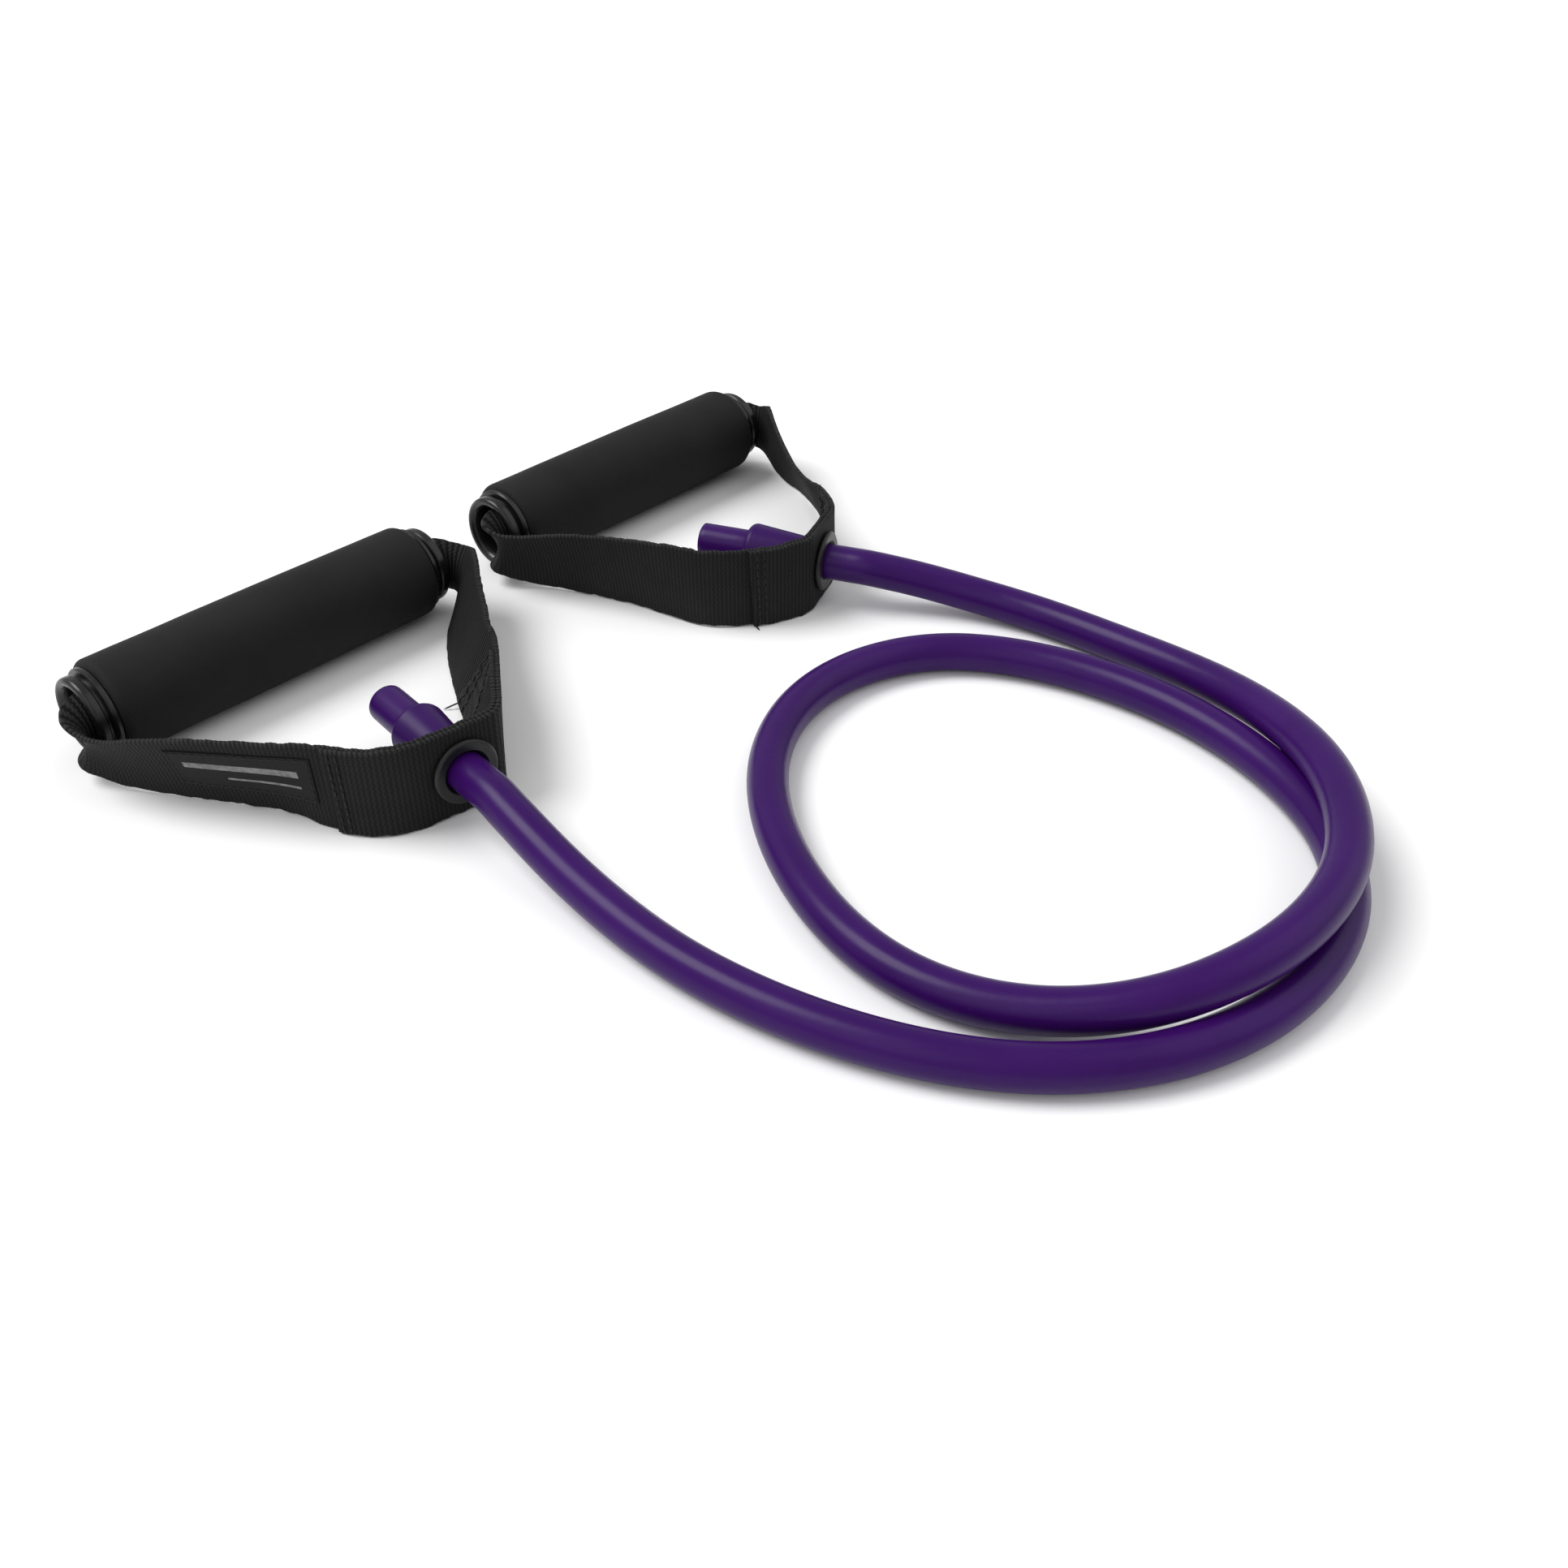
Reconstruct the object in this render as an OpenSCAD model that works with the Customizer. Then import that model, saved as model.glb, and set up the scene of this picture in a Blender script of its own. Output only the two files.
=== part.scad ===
// Resistance band: one rubber tube between two foam-gripped handles.
// Each handle is a webbing loop that runs through a spinning grip and carries
// an eyelet; the tube passes through the eyelet and is held by a stopper.
// +Z is up, +X runs along both grips, the surface it lies on is z = 0.

/* [Tube] */
// Outer diameter of the rubber tube
tube_d = 12.5; // [12:0.1:12.8]
// Bore of the rubber tube
tube_bore = 6.5; // [4:0.5:8]
// Bare tube that stands past the stopper
stub_l = 18; // [12:1:20]

/* [Grip] */
// Length of the foam grip
grip_l = 119; // [110:1:119]
// Outer diameter of the foam grip
grip_d = 33; // [30:0.5:33]
// Outer diameter of the rigid core tube
core_d = 24; // [23:0.5:26]
// Wall of the rigid core tube
core_wall = 1.5; // [1.2:0.1:1.6]
// Radius on the foam's end edges
foam_round = 2; // [1:0.5:3]

/* [End caps] */
// How far a cap stands out of the foam
cap_out = 7; // [6:0.5:7]
// Diameter of the cap's flange against the foam
flange_d = 29; // [27:0.5:30]
// Diameter of the cap's rounded lip
lip_d = 26.6; // [26:0.2:27]
// Length of the spigot that plugs into the core tube
spigot_l = 12; // [8:1:16]

/* [Webbing] */
// Width of the webbing
web_w = 30; // [28:0.5:30]
// Thickness of the webbing
web_t = 1.6; // [1.2:0.1:1.8]
// Width of the woven label patch
label_w = 19; // [12:1:22]

/* [Eyelet and stopper] */
// Diameter of the eyelet's flange
eyelet_d = 21; // [20:0.5:21]
// Thickness of the eyelet's flange
eyelet_t = 2; // [1.5:0.1:2.5]
// Clearance between the tube and the eyelet's bore, on radius
eyelet_gap = 0.35; // [0.3:0.05:0.5]
// Length of the stopper sleeve
stopper_l = 23; // [20:1:25]
// Diameter of the stopper sleeve at the eyelet
stopper_d1 = 14.6; // [14:0.2:16]
// Diameter of the stopper sleeve at its far shoulder
stopper_d2 = 18.2; // [17:0.2:19]

/* [Hidden] */

rubber = [0.24, 0.10, 0.36];
webbing = [0.09, 0.09, 0.10];
foam = [0.12, 0.12, 0.13];
plastic = [0.06, 0.06, 0.07];
thread = [0.16, 0.16, 0.17];
round_fn = 64;

// Centre of each grip on its own axis: handle a on -X, handle b on +X
grip_r = grip_d / 2;
grip_z = grip_r;
grip_x = 81.25;
grip_y = 46;
grip_a = [-grip_x, grip_y];
grip_b = [grip_x, grip_y];

// Eyelet centre from its grip's centre, and the direction the tube leaves in
eye_z = 15;
eye_a = [-5, -104.5];
eye_b = [-1, -101];
turn_a = -99;
turn_b = -69;

// Stack through the eyelet, along the direction the tube leaves in
web_out = web_t / 2;
patch_out = web_out + web_t;
// Clearance in which the webbing turns between the eyelet's two halves
turn_gap = 0.1;
flange_in = patch_out + turn_gap;
flange_out = flange_in + eyelet_t;
washer_out = -web_out - turn_gap;
washer_in = washer_out - 1.7;
eyelet_bore_r = tube_d / 2 + eyelet_gap;
barrel_r = eyelet_bore_r + 1.6;
stopper_from = washer_in - 0.4;
stopper_far = stopper_from - stopper_l;
tube_from = stopper_far - stub_l;
// The sleeve grips the tube, which is squeezed by this much on its radius
squeeze = 0.3;
// The tube runs straight for this far past the eyelet
straight_l = 22;

// ---------------------------------------------------------------- vectors
function unit(v) = v / norm(v);
function dir(a) = [cos(a), sin(a)];
function mid(a, b) = (a + b) / 2;
function bezier(a, b, c, t) =
  a * (1 - t) * (1 - t) + b * 2 * t * (1 - t) + c * t * t;
// Smooth closed curve that touches the middle of every side of a polygon
function rounded_loop(p, steps) =
  let (n = len(p))
  [for (i = [0:n - 1], k = [0:steps - 1])
    bezier(mid(p[(i + n - 1) % n], p[i]), p[i], mid(p[i], p[(i + 1) % n]),
      k / steps)];
// Smooth open curve through every point of a list
function spline_at(a, b, c, d, t) =
  0.5 * (2 * b + (c - a) * t + (2 * a - 5 * b + 4 * c - d) * t * t
    + (3 * b - a - 3 * c + d) * t * t * t);
function through(p, steps) =
  let (n = len(p))
  [for (i = [0:n - 2], k = [0:steps - 1])
    spline_at(p[max(i - 1, 0)], p[i], p[i + 1], p[min(i + 2, n - 1)],
      k / steps),
    p[n - 1]];

// ---------------------------------------------------------------- webbing
// Control points of each webbing loop, from its grip's centre: x, y, height
// of its middle line, lean (top edge inwards) and curl (total angle of its C
// section). The order is back leg, eyelet, front leg, grip, back leg.
function eyelet_point(eye, turn, along) =
  let (p = eye - along * dir(turn + 90))
  [p.x, p.y, eye_z, 0, 0];
core_y = -8;
full_curl = 215;
// Share of its width that the webbing gathers in by where it is half curled
gather = 0.34;
loop_a = [
  [15.5, -93, 15.4, -12, 0],
  eyelet_point(eye_a, turn_a, -13.5),
  eyelet_point(eye_a, turn_a, -7),
  eyelet_point(eye_a, turn_a, 7),
  eyelet_point(eye_a, turn_a, 14),
  [-29.5, -97.5, eye_z, 0, 0],
  [-37.5, -83, eye_z, 0, 0],
  [-43, -70, 15.1, -14, 0],
  [-52, -55, 14.8, -17, 0],
  [-61, -38, 14.1, -19, 12],
  [-66.5, -25, 12.6, -20, 45],
  [-70, -14, 12.8, -14, 100],
  [-70, -8, 15.6, -4, 160],
  [-64, core_y, grip_z, 0, full_curl],
  [-56, core_y, grip_z, 0, full_curl],
  [56, core_y, grip_z, 0, full_curl],
  [64, core_y, grip_z, 0, full_curl],
  [69.5, -7.4, 16.2, 0, 150],
  [71.5, -13, 14.4, -16, 40],
  [65, -21, 14.1, -24, 0],
  [53.1, -35.8, 14, -28, 0],
  [41.9, -52.4, 14.3, -28, 0],
  [28.5, -72.5, 14.9, -24, 0]];
loop_b = [
  [24.5, -84, eye_z, 16, 0],
  eyelet_point(eye_b, turn_b, -14),
  eyelet_point(eye_b, turn_b, -7),
  eyelet_point(eye_b, turn_b, 7),
  eyelet_point(eye_b, turn_b, 13),
  [-30, -99, eye_z, 0, 0],
  [-43, -88, eye_z, 0, 0],
  [-47, -73, 15.1, -4, 0],
  [-51, -58, 14.8, -12, 0],
  [-56.5, -40, 14.2, -14, 8],
  [-62.5, -24, 13.3, -16, 35],
  [-69.5, -12, 13.4, -12, 80],
  [-70, -7, 16, -4, 155],
  [-64, core_y, grip_z, 0, full_curl],
  [-56, core_y, grip_z, 0, full_curl],
  [56, core_y, grip_z, 0, full_curl],
  [64, core_y, grip_z, 0, full_curl],
  [68.8, -7.6, 16.3, 0, 145],
  [70.5, -13, 14.9, 2, 30],
  [63, -26, 14.6, 10, 0],
  [54, -42, 14.8, 24, 0],
  [38.5, -65, 14, 30, 0]];
loop_steps = 3;
band_a = rounded_loop(loop_a, loop_steps);
band_b = rounded_loop(loop_b, loop_steps);
// Stations that the doubled ends and the label cover. A station past the
// loop's last one counts on from its first.
patch_a = [67, 88];
patch_b = [2, 17];
label_from = 20;
label_to = 28;

// One ring of a webbing strip at station i: a bent strip between two offsets
across = 6;
function along_at(s, i) =
  let (n = len(s), a = s[(i + n - 1) % n], b = s[(i + 1) % n])
  unit([b.x - a.x, b.y - a.y]);
function web_point(c, side, flat_w, off) =
  let (w = flat_w * (1 - gather * sin(180 * c[4] / full_curl)),
    phi = c[4] * w / web_w,
    r = c[4] < 1 ? 0 : web_w / (c[4] * PI / 180),
    q = c[4] < 1 ? [off, w]
      : [r * (1 - cos(phi)) + off * cos(phi), (r - off) * sin(phi)],
    n = q.x * cos(c[3]) - q.y * sin(c[3]),
    h = q.x * sin(c[3]) + q.y * cos(c[3]))
  [c.x + n * side.x, c.y + n * side.y, c.z + h];
function web_ring(s, i, width, off0, off1) =
  let (c = s[i % len(s)], t = along_at(s, i), side = [-t.y, t.x],
    ws = [for (k = [0:across]) width * (k / across - 0.5)])
  [for (w = ws) web_point(c, side, w, off1),
    for (k = [across:-1:0]) web_point(c, side, ws[k], off0)];

// Skin between neighbouring rings, with flat ends when it isn't closed. The
// two halves of a ring are split along opposite diagonals, so that the outer
// face of one layer matches the inner face of the layer on it.
module skin(rings, closed) {
  m = len(rings[0]);
  n = len(rings);
  last = closed ? n - 1 : n - 2;
  sides = [for (i = [0:last], j = [0:m - 1])
    let (a = i * m + j, b = i * m + (j + 1) % m,
      c = ((i + 1) % n) * m + j, d = ((i + 1) % n) * m + (j + 1) % m)
    each j < m / 2 ? [[a, c, b], [b, c, d]] : [[a, c, d], [a, d, b]]];
  far = (n - 1) * m;
  ends = closed ? [] : [for (j = [0:m / 2 - 2])
    let (k = m - 1 - j)
    each [[j, j + 1, k], [j + 1, k - 1, k],
      [far + j, far + k, far + j + 1], [far + j + 1, far + k, far + k - 1]]];
  polyhedron([for (r = rings) each r], concat(sides, ends), convexity = 10);
}

module web_strip(s, from, to, width, off0, off1) {
  skin([for (i = [from:to]) web_ring(s, i, width, off0, off1)], false);
}

// ---------------------------------------------------------------- places
module at_grip(grip) {
  translate([grip.x, grip.y, 0]) children();
}

// Local +Z is the direction in which the tube leaves the eyelet
module at_eyelet(grip, eye, turn) {
  translate([grip.x + eye.x, grip.y + eye.y, eye_z])
    rotate([0, 0, turn]) rotate([0, 90, 0]) children();
}

// Local +Z points out of one end of the grip (side 1 is +X, side -1 is -X)
module at_grip_end(grip, side) {
  translate([grip.x + side * grip_l / 2, grip.y, grip_z])
    rotate([0, side * 90, 0]) children();
}

// ---------------------------------------------------------------- tube
// Route of the free tube's centre line, from handle a to handle b. It lies
// on the surface, makes one loop and rides over itself on the far side.
route = [
  [-92.5, -94, 13.2], [-95, -114, 9.4], [-97, -137, 6.8], [-98, -162, 6.4],
  [-94.5, -192, 6.4], [-85, -223, 6.4], [-69, -250, 6.4], [-46, -270.5, 6.4],
  [-19, -282, 6.4], [10, -284.5, 6.4], [38, -278, 6.4], [62, -261, 6.4],
  [79, -236.5, 6.4], [89, -208, 6.4], [91.5, -178, 6.4], [86, -146, 6.4],
  [71, -118.5, 6.4], [45, -103.5, 6.4], [15, -102.5, 6.4], [-14, -115, 6.4],
  [-37, -136.5, 6.4], [-54, -163, 6.4], [-63.5, -190, 6.4],
  [-63.5, -216, 6.4], [-54.5, -240.5, 8.2], [-39, -262, 13.8],
  [-16, -275.5, 18.6], [10, -279.5, 19.6], [36, -276, 19.6],
  [60, -264, 19.3], [80.5, -245.5, 17.8], [98, -220, 13.4],
  [108.5, -193, 9.4], [113, -162, 6.6], [112.5, -130, 6.4],
  [106, -104.5, 8.2], [96.5, -87, 12.2]];
function on_axis(grip, eye, turn, along) =
  let (p = grip + eye + along * dir(turn))
  [p.x, p.y, eye_z];
centre_line = through(concat(
  [on_axis(grip_a, eye_a, turn_a, straight_l)], route,
  [on_axis(grip_b, eye_b, turn_b, straight_l)]), 2);
tube_sides = 12;
// The first and last rings are square to the straight ends they meet
function tube_ring(p, i) =
  let (t = i == 0 ? [dir(turn_a).x, dir(turn_a).y, 0]
      : i == len(p) - 1 ? -[dir(turn_b).x, dir(turn_b).y, 0]
      : unit(p[i + 1] - p[i - 1]),
    side = unit(cross([0, 0, 1], t)), up = cross(t, side))
  [for (k = [0:tube_sides - 1])
    let (a = 360 * k / tube_sides)
    p[i] + tube_d / 2 * (cos(a) * up - sin(a) * side)];

// The straight end that passes through the eyelet and the stopper
module tube_end(grip, eye, turn) {
  r0 = tube_bore / 2;
  r1 = tube_d / 2;
  r2 = r1 - squeeze;
  color(rubber) at_eyelet(grip, eye, turn)
    rotate_extrude($fn = round_fn)
      polygon([[r0, tube_from], [r1, tube_from], [r1, stopper_far],
        [r2, stopper_far], [r2, stopper_from], [r1, stopper_from],
        [r1, straight_l], [r0, straight_l]]);
}

module tube() {
  color(rubber)
    skin([for (i = [0:len(centre_line) - 1]) tube_ring(centre_line, i)],
      false);
}

// ---------------------------------------------------------------- stopper
// Tapered sleeve on the tube with a rounded far shoulder
module stopper_sleeve(grip, eye, turn) {
  r0 = tube_d / 2 - squeeze;
  r1 = stopper_d1 / 2;
  r2 = stopper_d2 / 2;
  round_r = 2.4;
  color(rubber) at_eyelet(grip, eye, turn)
    rotate_extrude($fn = round_fn)
      polygon(concat(
        [[r0, stopper_from], [r0, stopper_far]],
        [for (a = [270:15:360])
          [r2 - round_r + round_r * cos(a),
            stopper_far + round_r + round_r * sin(a)]],
        [[r1, stopper_from - 0.8], [r1 - 0.8, stopper_from]]));
}

// Short plug that keeps the tube's end from collapsing under the sleeve
module stopper_plug(grip, eye, turn) {
  color(plastic) at_eyelet(grip, eye, turn)
    translate([0, 0, tube_from + 0.5])
      cylinder(d = tube_bore, h = stub_l + stopper_l - 4, $fn = round_fn);
}

// ---------------------------------------------------------------- eyelet
module eyelet(grip, eye, turn) {
  round_r = eyelet_t / 2;
  color(plastic) at_eyelet(grip, eye, turn)
    rotate_extrude($fn = round_fn)
      polygon(concat(
        [[eyelet_bore_r, washer_in], [barrel_r, washer_in],
          [barrel_r, flange_in]],
        [for (a = [-90:18:90])
          [eyelet_d / 2 - round_r + round_r * cos(a),
            flange_in + round_r + round_r * sin(a)]],
        [[eyelet_bore_r + 0.8, flange_out],
          [eyelet_bore_r, flange_out - 0.8]]));
}

module eyelet_washer(grip, eye, turn) {
  outer_r = eyelet_d / 2 - 0.5;
  color(plastic) at_eyelet(grip, eye, turn)
    rotate_extrude($fn = round_fn)
      polygon([[barrel_r, washer_out], [outer_r, washer_out],
        [outer_r, washer_in + 0.6], [outer_r - 0.6, washer_in],
        [barrel_r, washer_in]]);
}

module eyelet_hole(grip, eye, turn) {
  at_eyelet(grip, eye, turn) translate([0, 0, -5])
    cylinder(r = barrel_r + turn_gap, h = 10, $fn = round_fn);
}

// ---------------------------------------------------------------- webbing
module strap(grip, eye, turn, s) {
  color(webbing) difference() {
    at_grip(grip)
      skin([for (i = [0:len(s) - 1]) web_ring(s, i, web_w, -web_out, web_out)],
        true);
    eyelet_hole(grip, eye, turn);
  }
}

module strap_reinforcement(grip, eye, turn, s, patch) {
  color(webbing) difference() {
    at_grip(grip)
      web_strip(s, patch[0], patch[1], web_w, web_out, patch_out);
    eyelet_hole(grip, eye, turn);
  }
}

// Two rows of lock stitches, one near each end of the doubled webbing
module stitching(grip, s, patch) {
  stitches = 7;
  stitch_h = 2.6;
  stitch_w = 0.8;
  stitch_t = 0.4;
  stitch_lift = 0.05;
  pitch = (web_w - 3) / stitches;
  color(thread) at_grip(grip)
    for (i = [patch[0], patch[1] - 1]) {
      here = s[i % len(s)];
      next = s[(i + 1) % len(s)];
      p = mid(here, next);
      t = unit([next.x - here.x, next.y - here.y]);
      for (k = [0:stitches - 1])
        translate([p.x, p.y, p.z])
          rotate([0, 0, atan2(t.y, t.x)]) rotate([p[3], 0, 0])
            translate([-stitch_w / 2, patch_out + stitch_lift,
              pitch * (k - (stitches - 1) / 2) - stitch_h / 2])
              cube([stitch_w, stitch_t, stitch_h]);
    }
}

module label_patch(grip, s) {
  label_t = 0.7;
  label_in = web_out + 0.05;
  color(thread) at_grip(grip)
    web_strip(s, label_from, label_to, label_w, label_in, label_in + label_t);
}

// ---------------------------------------------------------------- grip
module foam_grip(grip) {
  r0 = core_d / 2;
  c = grip_r - foam_round;
  half = grip_l / 2;
  color(foam) translate([grip.x, grip.y, grip_z]) rotate([0, 90, 0])
    rotate_extrude($fn = round_fn)
      polygon(concat(
        [[r0, -half]],
        [for (a = [-90:15:0])
          [c + foam_round * cos(a), -half + foam_round + foam_round * sin(a)]],
        [for (a = [0:15:90])
          [c + foam_round * cos(a), half - foam_round + foam_round * sin(a)]],
        [[r0, half]]));
}

module core_tube(grip) {
  color(plastic) translate([grip.x - grip_l / 2, grip.y, grip_z])
    rotate([0, 90, 0]) difference() {
      cylinder(d = core_d, h = grip_l, $fn = round_fn);
      translate([0, 0, -1])
        cylinder(d = core_d - 2 * core_wall, h = grip_l + 2, $fn = round_fn);
    }
}

// Spigot in the core, flange on the foam, a groove and a bell-mouthed lip
module end_cap(grip, side) {
  spigot_r = core_d / 2 - core_wall;
  bore_r = spigot_r - 1.1;
  groove_r = 12.2;
  lip_r = lip_d / 2;
  lip_from = 3.4;
  round_r = 1.5;
  mouth_r = lip_r - round_r;
  color(plastic) at_grip_end(grip, side)
    rotate_extrude($fn = round_fn)
      polygon(concat(
        [[bore_r, -spigot_l], [spigot_r, -spigot_l], [spigot_r, 0],
          [flange_d / 2 - 0.5, 0], [flange_d / 2, 0.5],
          [flange_d / 2, 1.5], [flange_d / 2 - 0.5, 2],
          [groove_r, 2.2], [groove_r, lip_from], [lip_r - 0.5, lip_from],
          [lip_r, lip_from + 0.5]],
        [for (a = [0:15:90])
          [mouth_r + round_r * cos(a), cap_out - round_r + round_r * sin(a)]],
        [for (a = [0:15:90])
          let (q = mouth_r - bore_r)
          [mouth_r - q * sin(a), cap_out - (cap_out - 2) * (1 - cos(a))]]));
}

tube();
tube_end(grip_a, eye_a, turn_a);  // tube_end_a
tube_end(grip_b, eye_b, turn_b);  // tube_end_b
stopper_sleeve(grip_a, eye_a, turn_a);  // stopper_sleeve_a
stopper_plug(grip_a, eye_a, turn_a);  // stopper_plug_a
stopper_sleeve(grip_b, eye_b, turn_b);  // stopper_sleeve_b
stopper_plug(grip_b, eye_b, turn_b);  // stopper_plug_b
eyelet(grip_a, eye_a, turn_a);  // eyelet_a
eyelet_washer(grip_a, eye_a, turn_a);  // eyelet_washer_a
eyelet(grip_b, eye_b, turn_b);  // eyelet_b
eyelet_washer(grip_b, eye_b, turn_b);  // eyelet_washer_b
strap(grip_a, eye_a, turn_a, band_a);  // strap_a
strap_reinforcement(grip_a, eye_a, turn_a, band_a, patch_a);  // strap_reinforcement_a
stitching(grip_a, band_a, patch_a);  // stitching_a
label_patch(grip_a, band_a);  // label_patch_a
strap(grip_b, eye_b, turn_b, band_b);  // strap_b
strap_reinforcement(grip_b, eye_b, turn_b, band_b, patch_b);  // strap_reinforcement_b
stitching(grip_b, band_b, patch_b);  // stitching_b
foam_grip(grip_a);  // foam_grip_a
core_tube(grip_a);  // core_tube_a
end_cap(grip_a, -1);  // outer_end_cap_a
end_cap(grip_a, 1);  // inner_end_cap_a
foam_grip(grip_b);  // foam_grip_b
core_tube(grip_b);  // core_tube_b
end_cap(grip_b, -1);  // inner_end_cap_b
end_cap(grip_b, 1);  // outer_end_cap_b
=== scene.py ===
import math
import random

import bpy
import bmesh
import numpy as np
from mathutils import Matrix, Vector


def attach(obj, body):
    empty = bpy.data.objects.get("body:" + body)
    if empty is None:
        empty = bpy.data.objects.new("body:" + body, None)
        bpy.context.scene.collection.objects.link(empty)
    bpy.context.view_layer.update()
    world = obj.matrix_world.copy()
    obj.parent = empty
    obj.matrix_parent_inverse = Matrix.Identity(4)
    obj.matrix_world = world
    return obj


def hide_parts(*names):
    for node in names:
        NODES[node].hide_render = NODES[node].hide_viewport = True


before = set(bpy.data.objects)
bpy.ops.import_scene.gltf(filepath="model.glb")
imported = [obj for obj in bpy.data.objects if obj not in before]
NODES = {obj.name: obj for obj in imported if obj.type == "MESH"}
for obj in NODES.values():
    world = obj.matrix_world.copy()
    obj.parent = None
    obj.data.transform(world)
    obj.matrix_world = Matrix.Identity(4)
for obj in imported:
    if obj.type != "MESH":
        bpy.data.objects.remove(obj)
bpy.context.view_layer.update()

# Resistance band: one rubber tube between two foam-gripped webbing handles.
# Lengths below are in millimetres until a mesh is made, which is in metres.
MM = 0.001

# ------------------------------------------------------------ CAD's values
TUBE_D = 12.5
TUBE_BORE = 6.5
GRIP_L = 119.0
GRIP_D = 33.0
CORE_D = 24.0
GRIP_Z = GRIP_D / 2
GRIP = {"a": (-81.25, 46.0), "b": (81.25, 46.0)}
EYE_Z = 15.0
EYE = {"a": (-5.0, -104.5), "b": (-1.0, -101.0)}
TURN = {"a": -99.0, "b": -69.0}
TUBE_FROM = -44.0
STRAIGHT = 22.0
SQUEEZE = 0.3
WEB_W = 30.0
WEB_T = 1.6
WEB_OUT = WEB_T / 2
PATCH_OUT = WEB_OUT + WEB_T
BARREL_R = TUBE_D / 2 + 0.35 + 1.6

ROUTE = [
    (-92.5, -94, 13.2), (-95, -114, 9.4), (-97, -137, 6.8), (-98, -162, 6.4),
    (-94.5, -192, 6.4), (-85, -223, 6.4), (-69, -250, 6.4), (-46, -270.5, 6.4),
    (-19, -282, 6.4), (10, -284.5, 6.4), (38, -278, 6.4), (62, -261, 6.4),
    (79, -236.5, 6.4), (89, -208, 6.4), (91.5, -178, 6.4), (86, -146, 6.4),
    (71, -118.5, 6.4), (45, -103.5, 6.4), (15, -102.5, 6.4), (-14, -115, 6.4),
    (-37, -136.5, 6.4), (-54, -163, 6.4), (-63.5, -190, 6.4),
    (-63.5, -216, 6.4), (-54.5, -240.5, 8.2), (-39, -262, 13.8),
    (-16, -275.5, 18.6), (10, -279.5, 19.6), (36, -276, 19.6),
    (60, -264, 19.3), (80.5, -245.5, 17.8), (98, -220, 13.4),
    (108.5, -193, 9.4), (113, -162, 6.6), (112.5, -130, 6.4),
    (106, -104.5, 8.2), (96.5, -87, 12.2)]


def direction(turn):
    return np.array([math.cos(math.radians(turn)), math.sin(math.radians(turn))])


def on_axis(h, along, z=EYE_Z):
    p = np.array(GRIP[h]) + EYE[h] + along * direction(TURN[h])
    return (p[0], p[1], z)


def eyelet_point(h, along):
    """A webbing control point this far along the webbing from the eyelet."""
    p = np.array(EYE[h]) - along * direction(TURN[h] + 90)
    return (p[0], p[1], EYE_Z, 0, 0)


# Webbing control points from the grip's centre: x, y, z, lean, curl
CORE_Y = -8
CURL = 215
GATHER = 0.34
LOOP = {
    "a": [
        (15.5, -93, 15.4, -12, 0), eyelet_point("a", -13.5),
        eyelet_point("a", -7), eyelet_point("a", 7), eyelet_point("a", 14),
        (-29.5, -97.5, 15, 0, 0), (-37.5, -83, 15, 0, 0),
        (-43, -70, 15.1, -14, 0), (-52, -55, 14.8, -17, 0),
        (-61, -38, 14.1, -19, 12), (-66.5, -25, 12.6, -20, 45),
        (-70, -14, 12.8, -14, 100), (-70, -8, 15.6, -4, 160),
        (-64, CORE_Y, 16.5, 0, CURL), (-56, CORE_Y, 16.5, 0, CURL),
        (56, CORE_Y, 16.5, 0, CURL), (64, CORE_Y, 16.5, 0, CURL),
        (69.5, -7.4, 16.2, 0, 150), (71.5, -13, 14.4, -16, 40),
        (65, -21, 14.1, -24, 0), (53.1, -35.8, 14, -28, 0),
        (41.9, -52.4, 14.3, -28, 0), (28.5, -72.5, 14.9, -24, 0)],
    "b": [
        (24.5, -84, 15, 16, 0), eyelet_point("b", -14),
        eyelet_point("b", -7), eyelet_point("b", 7), eyelet_point("b", 13),
        (-30, -99, 15, 0, 0), (-43, -88, 15, 0, 0), (-47, -73, 15.1, -4, 0),
        (-51, -58, 14.8, -12, 0), (-56.5, -40, 14.2, -14, 8),
        (-62.5, -24, 13.3, -16, 35), (-69.5, -12, 13.4, -12, 80),
        (-70, -7, 16, -4, 155), (-64, CORE_Y, 16.5, 0, CURL),
        (-56, CORE_Y, 16.5, 0, CURL), (56, CORE_Y, 16.5, 0, CURL),
        (64, CORE_Y, 16.5, 0, CURL), (68.8, -7.6, 16.3, 0, 145),
        (70.5, -13, 14.9, 2, 30), (63, -26, 14.6, 10, 0),
        (54, -42, 14.8, 24, 0), (38.5, -65, 14, 30, 0)]}
# Control spans of the strip's inner end and outer end, which overlap round
# the eyelet, and the spans that the label covers. CAD has 3 stations a span.
ENDS = {"a": (67 / 3, 19 / 3), "b": (2 / 3, 17 / 3)}
LABEL = (20 / 3, 28 / 3)


# ------------------------------------------------------------ camera first
def make_camera():
    data = bpy.data.cameras.new("camera")
    data.sensor_width = 36
    data.lens = 36.11
    cam = bpy.data.objects.new("camera", data)
    pitch = math.radians(36)
    look = Vector((0.755 * math.cos(pitch), 0.656 * math.cos(pitch),
                   -math.sin(pitch)))
    cam.location = (-0.30725, -0.376, 0.2809)
    cam.rotation_mode = "QUATERNION"
    cam.rotation_quaternion = look.to_track_quat("-Z", "Y")
    bpy.context.scene.collection.objects.link(cam)
    bpy.context.scene.camera = cam


make_camera()


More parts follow.
